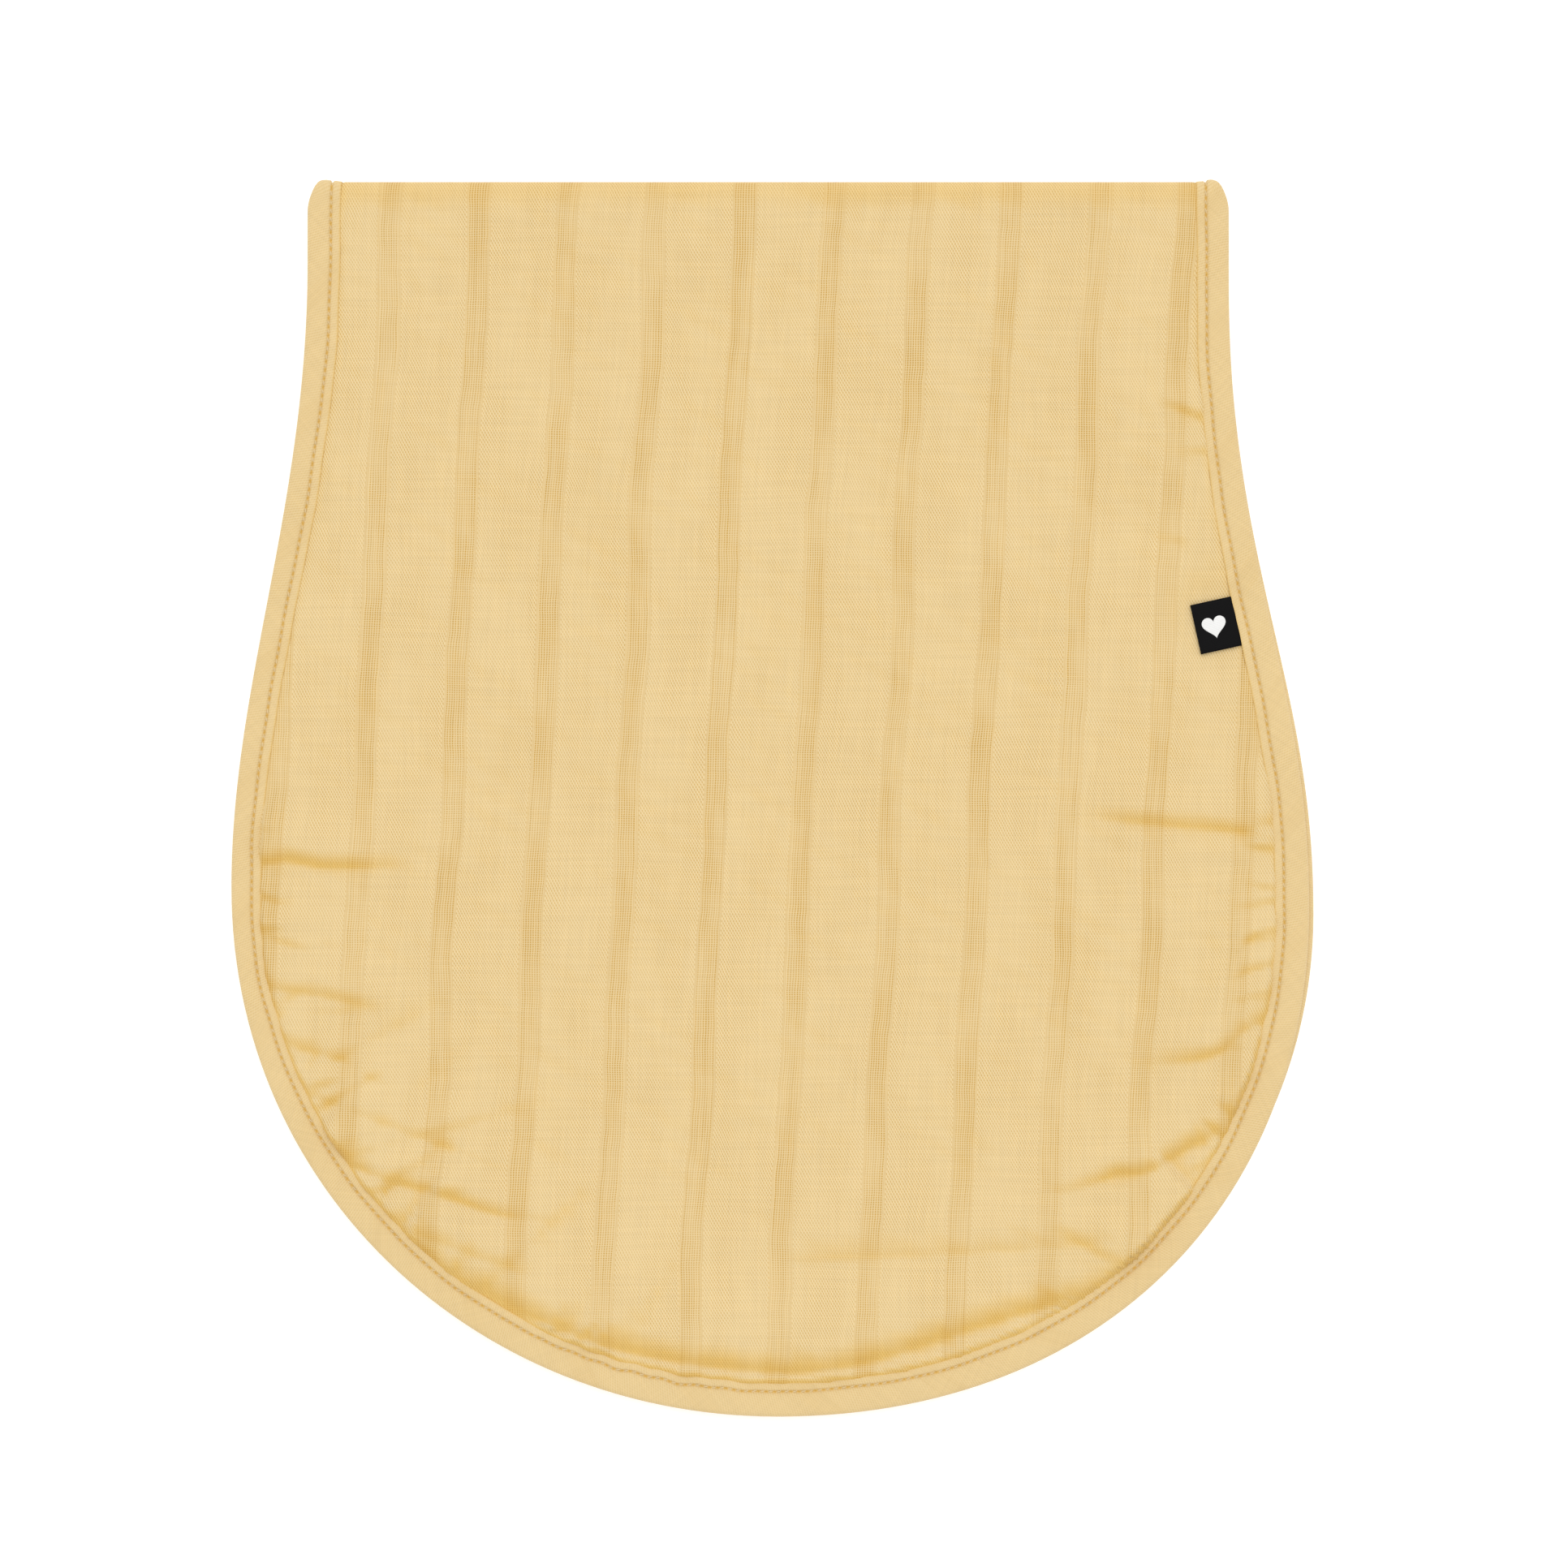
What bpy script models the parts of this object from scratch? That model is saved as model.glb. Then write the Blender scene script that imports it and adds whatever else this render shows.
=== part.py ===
"""Contoured muslin burp cloth, folded once at its waist and lying flat.

The cloth is three plies of muslin inside one bias binding, held by one row of lockstitch. It is an
hourglass when opened. Folded, its two round halves lie one on the other, and the fold is a straight edge.

Frame: metres, +Z up, +Y from the round end towards the fold, +X to the right as seen from above.
The origin is under the middle of the box, on the surface that the cloth lies on.
"""

import math

import bmesh
import bpy
from mathutils import Matrix, Vector
from mathutils.geometry import interpolate_bezier

# Layers, from the lower surface up. One half is a stack of three plies between two binding walls.
PLY = 0.0003
GAP = 0.0003
BINDING_WALL = 0.0007
PLY_NAMES = ("outer", "core", "inner")
PLY_STEP = PLY + GAP
STACK = len(PLY_NAMES) * PLY + (len(PLY_NAMES) + 1) * GAP
HALF = STACK + 2 * BINDING_WALL
FOLD_RADIUS = HALF + GAP / 2
MIDDLE_Z = FOLD_RADIUS

# The edge of the upper half, from the left end of the fold round to the right end. Each anchor is
# (point, handle before it, handle after it).
LENGTH = 0.3055
FOLD_Y = LENGTH / 2 - FOLD_RADIUS
END_Y = -LENGTH / 2
END_X = 0.0010
WAIST_LEFT = -0.1150
WAIST_RIGHT = 0.1124
WIDEST_LEFT = -0.1338
WIDEST_RIGHT = 0.1322
EDGE = (
    ((WAIST_LEFT, FOLD_Y), (WAIST_LEFT, FOLD_Y), (WAIST_LEFT, FOLD_Y)),
    ((WAIST_LEFT, 0.132), (WAIST_LEFT, 0.132), (WAIST_LEFT, 0.072)),
    ((WIDEST_LEFT, -0.022), (WIDEST_LEFT, 0.028), (WIDEST_LEFT, -0.0975)),
    ((END_X, END_Y), (END_X - 0.0735, END_Y), (END_X + 0.0820, END_Y)),
    ((WIDEST_RIGHT, -0.026), (WIDEST_RIGHT + 0.0008, -0.098), (WIDEST_RIGHT, 0.029)),
    ((WAIST_RIGHT, 0.127), (WAIST_RIGHT, 0.057), (WAIST_RIGHT, 0.127)),
    ((WAIST_RIGHT, FOLD_Y), (WAIST_RIGHT, FOLD_Y), (WAIST_RIGHT, FOLD_Y)),
)
EDGE_STEPS = (2, 7, 12, 12, 7, 2)
# The lower half is laid slightly askew, so its edge shows past the upper one at the right.
LOWER_SKEW = 0.0015 / 0.172
LOWER_SHORT = 0.0008

# The binding and its row of stitches.
BINDING_WIDTH = 0.0090
NOSE_STEPS = 6
SLOT_END = 0.0012
PLY_INSET = SLOT_END + GAP
STITCH_INSET = 0.0065
GROOVE_HALF = 0.0004
GROOVE_DEPTH = 0.00045
THREAD = 0.0003
THREAD_SINK = 0.0002
FOLD_STEPS = 8

# Labels. The side label is a folded loop caught at the binding's inner edge.
SIDE_LABEL = (0.0100, 0.0124, 0.0006)
SIDE_LABEL_Y = 0.0434
SIDE_LABEL_TURN = math.radians(12.5)
CARE_LABEL = (0.0300, 0.0140, 0.00025)
CARE_LABEL_Y = 0.0170
CARE_LABEL_CLEAR = 0.0006

# Colours, linear.
HONEY = (0.80, 0.60, 0.30)
HONEY_CORE = (0.78, 0.58, 0.28)
HONEY_TAPE = (0.81, 0.62, 0.33)
HONEY_THREAD = (0.83, 0.66, 0.38)
BLACK = (0.004, 0.004, 0.004)
WHITE = (0.80, 0.79, 0.76)

# Turns a flat outline into the plane across the fold: its X along +Y, its Y up and its Z along +X.
ACROSS_FOLD = (math.pi / 2, 0.0, math.pi / 2)


def clear_scene():
    for thing in list(bpy.data.objects):
        bpy.data.objects.remove(thing)


def new_collection(name):
    made = bpy.data.collections.new(name)
    bpy.context.scene.collection.children.link(made)
    return made


def add_material(thing, colour, roughness):
    material = bpy.data.materials.new(thing.name)
    material.use_nodes = True
    shader = material.node_tree.nodes["Principled BSDF"]
    shader.inputs["Base Color"].default_value = (*colour, 1.0)
    shader.inputs["Roughness"].default_value = roughness
    shader.inputs["Metallic"].default_value = 0.0
    thing.data.materials.append(material)


def edge_points(lower):
    """The edge of one half as points, from the left end of the fold to the right end."""
    points = []
    for (start, _, leave), (end, arrive, _), steps in zip(EDGE, EDGE[1:], EDGE_STEPS):
        stretch = interpolate_bezier(*(Vector((*p, 0.0)) for p in (start, leave, arrive, end)), steps + 1)
        points += [Vector((p.x, p.y)) for p in stretch[:-1]]
    points.append(Vector(EDGE[-1][0]))
    if lower:
        for p in points:
            from_fold = FOLD_Y - p.y
            p.x += LOWER_SKEW * from_fold
            p.y += LOWER_SHORT * from_fold / (FOLD_Y - END_Y)
    for end in (points[0], points[-1]):
        end.y -= GAP
    return points


def inset(points, distance):
    """The same line moved inwards. Its two ends stay level, because the edge is square to the fold there."""
    moved = []
    for i, p in enumerate(points):
        along = points[min(i + 1, len(points) - 1)] - points[max(i - 1, 0)]
        if i in (0, len(points) - 1):
            along = Vector((0.0, along.y))
        moved.append(p + Vector((-along.y, along.x)).normalized() * distance)
    return moved


def poly_curve(name, points, cyclic):
    curve = bpy.data.curves.new(name, "CURVE")
    curve.dimensions = "2D"
    spline = curve.splines.new("POLY")
    spline.points.add(len(points) - 1)
    for point, place in zip(spline.points, points):
        point.co = (place[0], place[1], 0.0, 1.0)
    spline.use_cyclic_u = cyclic
    return curve


def slab(name, points, thickness, collection):
    """A flat sheet of one thickness, cut to a closed outline, with its middle plane at its own Z 0."""
    curve = poly_curve(name, points, True)
    curve.fill_mode = "BOTH"
    curve.extrude = thickness / 2
    thing = bpy.data.objects.new(name, curve)
    collection.objects.link(thing)
    return thing


def sweep(name, path, profile, collection):
    """A closed profile drawn along a flat path, with closed ends, as a mesh."""
    guide = bpy.data.objects.new(name + "_profile", poly_curve(name + "_profile", profile, True))
    collection.objects.link(guide)
    curve = poly_curve(name, path, False)
    curve.bevel_mode = "OBJECT"
    curve.bevel_object = guide
    curve.use_fill_caps = True
    line = bpy.data.objects.new(name + "_line", curve)
    collection.objects.link(line)
    bpy.context.view_layer.update()
    mesh = bpy.data.meshes.new_from_object(line.evaluated_get(bpy.context.evaluated_depsgraph_get()))
    weld = bmesh.new()
    weld.from_mesh(mesh)
    bmesh.ops.remove_doubles(weld, verts=weld.verts, dist=1e-6)
    bmesh.ops.recalc_face_normals(weld, faces=weld.faces)
    weld.to_mesh(mesh)
    weld.free()
    mesh.materials.clear()
    thing = bpy.data.objects.new(name, mesh)
    collection.objects.link(thing)
    for guide_object in (line, guide):
        bpy.data.objects.remove(guide_object)
    return thing


def thread(name, path, collection):
    curve = poly_curve(name, path, False)
    curve.dimensions = "3D"
    curve.bevel_depth = THREAD / 2
    curve.bevel_resolution = 1
    curve.use_fill_caps = True
    thing = bpy.data.objects.new(name, curve)
    collection.objects.link(thing)
    return thing


def binding_profile():
    """The binding's section as (distance inwards from the edge, height over its middle)."""
    top = HALF / 2
    inner = STACK / 2
    groove = [
        (STITCH_INSET + GROOVE_HALF, top),
        (STITCH_INSET + GROOVE_HALF, top - GROOVE_DEPTH),
        (STITCH_INSET - GROOVE_HALF, top - GROOVE_DEPTH),
        (STITCH_INSET - GROOVE_HALF, top),
    ]
    nose = []
    for i in range(NOSE_STEPS + 1):
        angle = math.pi * i / NOSE_STEPS
        nose.append((top - top * math.sin(angle), top * math.cos(angle)))
    under = [(x, -z) for x, z in reversed(groove)]
    slot = [(SLOT_END, -inner), (SLOT_END, inner)]
    ends = [(BINDING_WIDTH, -top), (BINDING_WIDTH, -inner)]
    return [(BINDING_WIDTH, inner), (BINDING_WIDTH, top), *groove, *nose, *under, *ends, *slot]


def half_circle(radius, steps=FOLD_STEPS):
    """Points from the lower half's side round the fold to the upper half's, with its sides touching the circle."""
    half_step = math.pi / steps / 2
    corners = [math.pi * (i + 0.5) / steps - math.pi / 2 for i in range(steps)]
    reach = radius / math.cos(half_step)
    bend = [Vector((reach * math.cos(a), reach * math.sin(a))) for a in corners]
    return [Vector((0.0, -radius)), *bend, Vector((0.0, radius))]


def half_ring(inner, outer):
    return [*half_circle(outer), *reversed(half_circle(inner))]


def ply_middle(index):
    """How far a ply's middle plane is from the face of the cloth."""
    return BINDING_WALL + GAP + PLY / 2 + index * PLY_STEP


def make_half(side, collection):
    """The plies, binding and threads of one half. The cloth's face is down in the lower half, up in the upper."""
    lower = side == "lower"
    face_z = 0.0 if lower else 2 * MIDDLE_Z
    inwards = 1.0 if lower else -1.0
    edge = edge_points(lower)
    made = []
    for index, ply in enumerate(PLY_NAMES):
        piece = slab(f"{side}_{ply}_ply", inset(edge, PLY_INSET), PLY, collection)
        piece.location.z = face_z + inwards * ply_middle(index)
        add_material(piece, HONEY_CORE if ply == "core" else HONEY, 0.9)
        made.append(piece)
    profile = [(BINDING_WIDTH / 2 - x, z) for x, z in binding_profile()]
    piece = sweep(f"{side}_binding", inset(edge, BINDING_WIDTH / 2), profile, collection)
    piece.location.z = face_z + inwards * HALF / 2
    add_material(piece, HONEY_TAPE, 0.85)
    made.append(piece)
    for kind, depth in (("needle", THREAD_SINK), ("bobbin", HALF - THREAD_SINK)):
        piece = thread(f"{side}_{kind}_thread", inset(edge, STITCH_INSET), collection)
        piece.location.z = face_z + inwards * depth
        add_material(piece, HONEY_THREAD, 0.7)
        made.append(piece)
    return made


def place_across_fold(piece, x):
    piece.rotation_euler = ACROSS_FOLD
    piece.location = (x, FOLD_Y, MIDDLE_Z)


def make_fold(collection):
    """The narrow band of every piece that goes round the fold."""
    made = []
    ply_left = WAIST_LEFT + PLY_INSET
    ply_right = WAIST_RIGHT - PLY_INSET
    for index, ply in enumerate(PLY_NAMES):
        radius = FOLD_RADIUS - ply_middle(index)
        outline = half_ring(radius - PLY / 2, radius + PLY / 2)
        piece = slab(f"fold_{ply}_ply", outline, ply_right - ply_left, collection)
        place_across_fold(piece, (ply_left + ply_right) / 2)
        add_material(piece, HONEY_CORE if ply == "core" else HONEY, 0.9)
        made.append(piece)
    middle = FOLD_RADIUS - HALF / 2
    for side, waist, inwards in (("left", WAIST_LEFT, 1.0), ("right", WAIST_RIGHT, -1.0)):
        profile = [(z, inwards * (x - BINDING_WIDTH / 2)) for x, z in binding_profile()]
        piece = sweep(f"fold_binding_{side}", half_circle(middle), profile, collection)
        place_across_fold(piece, waist + inwards * BINDING_WIDTH / 2)
        add_material(piece, HONEY_TAPE, 0.85)
        made.append(piece)
        for kind, depth in (("needle", THREAD_SINK), ("bobbin", HALF - THREAD_SINK)):
            piece = thread(f"fold_{kind}_thread_{side}", half_circle(FOLD_RADIUS - depth), collection)
            place_across_fold(piece, waist + inwards * STITCH_INSET)
            add_material(piece, HONEY_THREAD, 0.7)
            made.append(piece)
    return made


def binding_inner_x(y):
    """Where the right-hand binding of the upper half ends inwards, at a height y."""
    line = inset(edge_points(False), BINDING_WIDTH)
    right = [p for p in line if p.x > END_X]
    for low, high in zip(right, right[1:]):
        if low.y <= y <= high.y:
            return low.x + (high.x - low.x) * (y - low.y) / (high.y - low.y)
    return right[-1].x


def label(name, size, seam, turn, collection):
    """A flat label whose seam edge, its right one, has its middle at seam."""
    shape = bmesh.new()
    to_size = Matrix.Diagonal((*size, 1.0)) @ Matrix.Translation((-0.5, 0.0, 0.0))
    bmesh.ops.create_cube(shape, size=1.0, matrix=to_size)
    mesh = bpy.data.meshes.new(name)
    shape.to_mesh(mesh)
    shape.free()
    piece = bpy.data.objects.new(name, mesh)
    collection.objects.link(piece)
    edges = piece.modifiers.new("edges", "BEVEL")
    edges.width = size[2] / 3
    piece.location = seam
    piece.rotation_euler.z = turn
    return piece


def axis_empty(name, place, parent):
    """An empty on a joint's axis, for the pieces that turn about it."""
    empty = bpy.data.objects.new(name, None)
    bpy.context.scene.collection.objects.link(empty)
    empty.location = place
    if parent is not None:
        hang(empty, parent)
    return empty


def hang(child, parent):
    """Parents without moving the child."""
    bpy.context.view_layer.update()
    child.parent = parent
    child.matrix_parent_inverse = parent.matrix_world.inverted()


def main():
    clear_scene()
    cloth = new_collection("burp_cloth")
    make_half("lower", cloth)
    fold = make_fold(cloth)
    upper = make_half("upper", cloth)

    top = 2 * MIDDLE_Z
    label_x = binding_inner_x(SIDE_LABEL_Y) - GAP / math.cos(SIDE_LABEL_TURN)
    label_z = top - ply_middle(0) + PLY / 2 + GAP + SIDE_LABEL[2] / 2
    label_seam = (label_x, SIDE_LABEL_Y, label_z)
    side_label = label("side_label", SIDE_LABEL, label_seam, SIDE_LABEL_TURN, cloth)
    add_material(side_label, BLACK, 0.6)
    care_x = binding_inner_x(CARE_LABEL_Y) - CARE_LABEL_CLEAR
    care_z = top - ply_middle(len(PLY_NAMES) - 1) - PLY / 2 - GAP - CARE_LABEL[2] / 2
    care_label = label("care_label", CARE_LABEL, (care_x, CARE_LABEL_Y, care_z), SIDE_LABEL_TURN, cloth)
    add_material(care_label, WHITE, 0.5)

    # The fold turns about two axes, each halfway round a quarter of the bend of the cloth's middle layer.
    bend = FOLD_RADIUS - HALF / 2
    out = bend * math.pi / 4
    lower_axis = axis_empty("fold_lower_axis", (0.0, FOLD_Y + out, MIDDLE_Z - out), None)
    upper_axis = axis_empty("fold_upper_axis", (0.0, FOLD_Y + out, MIDDLE_Z + out), lower_axis)
    label_axis = axis_empty("side_label_axis", (label_x, SIDE_LABEL_Y, top), upper_axis)
    for piece in fold:
        hang(piece, lower_axis)
    for piece in (*upper, care_label):
        hang(piece, upper_axis)
    hang(side_label, label_axis)


main()
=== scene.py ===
"""The looks of a folded muslin burp cloth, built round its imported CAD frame.

Each piece of cloth is made flat first, in three coordinates: x across the cloth, v from the middle of the
fold down into one half, and n out from that half's middle layer towards the cloth's face. fold_over() then
folds it into the row frame. All lengths are metres.
"""

import math

import bpy
import numpy as np
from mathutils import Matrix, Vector
from mathutils.geometry import interpolate_bezier
from mathutils.kdtree import KDTree


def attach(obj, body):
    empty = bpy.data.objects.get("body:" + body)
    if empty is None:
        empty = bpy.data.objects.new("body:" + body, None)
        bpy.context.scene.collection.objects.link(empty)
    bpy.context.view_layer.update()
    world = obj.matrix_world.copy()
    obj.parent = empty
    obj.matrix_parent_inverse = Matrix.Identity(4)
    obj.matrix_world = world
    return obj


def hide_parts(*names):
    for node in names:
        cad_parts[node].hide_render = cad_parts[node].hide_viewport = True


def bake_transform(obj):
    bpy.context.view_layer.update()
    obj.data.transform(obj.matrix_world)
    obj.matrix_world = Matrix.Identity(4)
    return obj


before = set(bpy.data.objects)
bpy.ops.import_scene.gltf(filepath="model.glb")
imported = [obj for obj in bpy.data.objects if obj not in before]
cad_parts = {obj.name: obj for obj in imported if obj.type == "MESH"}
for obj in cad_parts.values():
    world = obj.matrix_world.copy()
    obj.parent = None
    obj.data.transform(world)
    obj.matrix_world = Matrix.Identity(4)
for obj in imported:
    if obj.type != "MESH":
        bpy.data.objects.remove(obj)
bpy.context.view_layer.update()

# The cloth's build, as in the CAD part.
PLY = 0.0003
GAP = 0.0003
BINDING_WALL = 0.0007
HALF = 3 * PLY + 4 * GAP + 2 * BINDING_WALL
FOLD_RADIUS = HALF + GAP / 2
MIDDLE_Z = FOLD_RADIUS
LENGTH = 0.3055
FOLD_Y = LENGTH / 2 - FOLD_RADIUS
END_Y = -LENGTH / 2
PLY_INSET = 0.0015

# The lower half is turned a little to the right and is a little short. It is back under the upper half at
# the first distance of LOWER_BACK from the fold, after coming back over the second.
LOWER_SKEW = 0.0015 / 0.172
LOWER_SHORT = 0.0008
LOWER_BACK = (0.26, 0.08)

# The edge of a half, from the left end of the fold round to the right end. Each anchor is (point (x, y),
# handle before it, handle after it).
WAIST_LEFT = -0.1150
WAIST_RIGHT = 0.1124
EDGE_STEPS = 60
EDGE = (
    ((WAIST_LEFT, FOLD_Y), (WAIST_LEFT, FOLD_Y), (WAIST_LEFT, FOLD_Y)),
    ((WAIST_LEFT, 0.132), (WAIST_LEFT, 0.132), (WAIST_LEFT, 0.072)),
    ((-0.1338, -0.022), (-0.1338, 0.028), (-0.1338, -0.0975)),
    ((0.0010, END_Y), (-0.0725, END_Y), (0.0830, END_Y)),
    ((0.1322, -0.026), (0.1330, -0.098), (0.1322, 0.029)),
    ((WAIST_RIGHT, 0.127), (WAIST_RIGHT, 0.057), (WAIST_RIGHT, 0.127)),
    ((WAIST_RIGHT, FOLD_Y), (WAIST_RIGHT, FOLD_Y), (WAIST_RIGHT, FOLD_Y)),
)
EDGE_STEP = 0.0005

# The bend radius of the middle layer, and how far down a half the flat part starts.
BEND = FOLD_RADIUS - HALF / 2
BEND_LENGTH = BEND * math.pi / 2

# The fold's two corners: how far they are drawn in, how far down a half, and how far in from the edge.
CORNER = 0.0026
CORNER_REACH = 0.0075
CORNER_DEPTH = 0.0060

# How much the fold squeezes what is on its inner side, and how far down a half.
SQUEEZE = 0.45
SQUEEZE_REACH = 0.0045

# Heights n of the three plies.
PLY_HEIGHTS = {"outer": PLY + GAP, "core": 0.0, "inner": -PLY - GAP}

# How far each ply is from its flat height at the middle of the fold, where its two halves meet, and how far
# down a half that reaches.
AT_FOLD = {"outer": 0.0005, "core": 0.0001, "inner": -0.0002}
FOLD_FADE = 0.0070

# Mesh steps of the plies, fine by the edge and coarse inside: the upper face's, and those of all the others.
FACE_STEPS = (0.0009, 0.0019)
HIDDEN_STEPS = (0.0019, 0.0030)
FINE_MARGIN = 0.055

# The binding's finished width on the face, at shares of the way round the edge from the left end of the
# fold, and the width on the back as a share of it.
WIDTHS = ((0.00, 0.0084), (0.14, 0.0074), (0.26, 0.0074), (0.32, 0.0084), (0.50, 0.0088), (0.70, 0.0088),
          (0.84, 0.0084), (1.00, 0.0080))
BACK_WIDTH = 0.985

# The binding's section: the height of its flat strip, the depth of its rounded outer edge, the heights of its
# lip and of the lip's end, the slot that holds the plies, and the valley that the stitches pull down. The
# slot starts to close at SLOT_TAPER from the outer edge.
TOP = 0.00166
NOSE = 0.00130
LIP_TOP = 0.00142
LIP_END = 0.00098
SLOT = 0.00085
SLOT_TAPER = 0.0013
SLOT_END = 0.0009
VALLEY = 0.0013
VALLEY_DEPTH = 0.00042

# The way along the edge to the tape's own slanting join, and the join's height and half its width.
JOIN_WAY = 0.420
JOIN_RISE = 0.00018
JOIN_HALF = 0.0007

# The tape's unevenness: how much the stitches gather it, how deep each one's pit is, and its soft waves.
GATHER_RISE = 0.00007
PIT_DEPTH = 0.00016
TAPE_WAVE = 0.00009

# The row of stitches, in from the binding's inner edge.
STITCH_FROM_LIP = 0.0024
STITCH_PITCH = 0.0021
STITCH_LENGTH = 0.00135
STITCH_SLANT = 0.00017
STITCH_ARCH = 0.00020
STITCH_SINK = 0.00012
THREAD_RADIUS = 0.00017
STATIONS_PER_STITCH = 4

# Labels, caught under the binding's inner edge by a short tab: seam point (x, y), and size in from the seam
# and along it. The side label is a folded loop.
LABEL_TURN = math.radians(12.5)
LABEL_TAB = 0.0014
TAPE = 0.00018
SIDE_SEAM = (0.113129, 0.0434)
SIDE_LABEL = (0.0092, 0.0124)
CARE_SEAM = (0.1183, 0.0170)
CARE_LABEL = (0.0300, 0.0140)

# How far the care label lies below the upper half's middle layer.
CARE_DEPTH = 0.00116

# The loop's lower and upper layer: how far each is below the cloth's top, and how much it bows up towards its
# free end. At the seam the upper one tucks down by SIDE_TUCK.
SIDE_DEPTHS = (0.00078, 0.00022)
SIDE_BOWS = (0.00012, 0.00018)
SIDE_TUCK = 0.00045

# The woven heart: its width, and its rings from the rim to the middle as (size, height over the loop).
HEART = 0.0060
HEART_STEPS = 48
HEART_RINGS = ((1.0, -0.00006), (1.0, 0.00003), (0.93, 0.00007), (0.6, 0.00008), (0.25, 0.00008))

# Where each label holds its ply down: its middle (x, y), half its size, and how softly the hold ends.
SIDE_PRESS = ((0.1082, 0.0425), (0.0095, 0.0105), 0.8)
CARE_PRESS = ((0.1037, 0.0140), (0.0190, 0.0120), 0.6)

# The muslin's thread pitches, across and along, in its gauze and in its crepe, and the stripes of open gauze.
GAUZE_PITCH = (0.00061, 0.00057)
CREPE_PITCH = (0.00069, 0.00120)
STRIPE_PITCH = 0.02174
STRIPE_WIDTH = 0.0046
STRIPE_BORDER = 0.0007
STRIPE_X = -0.0061
STRIPE_SLANT = 0.0495

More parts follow.
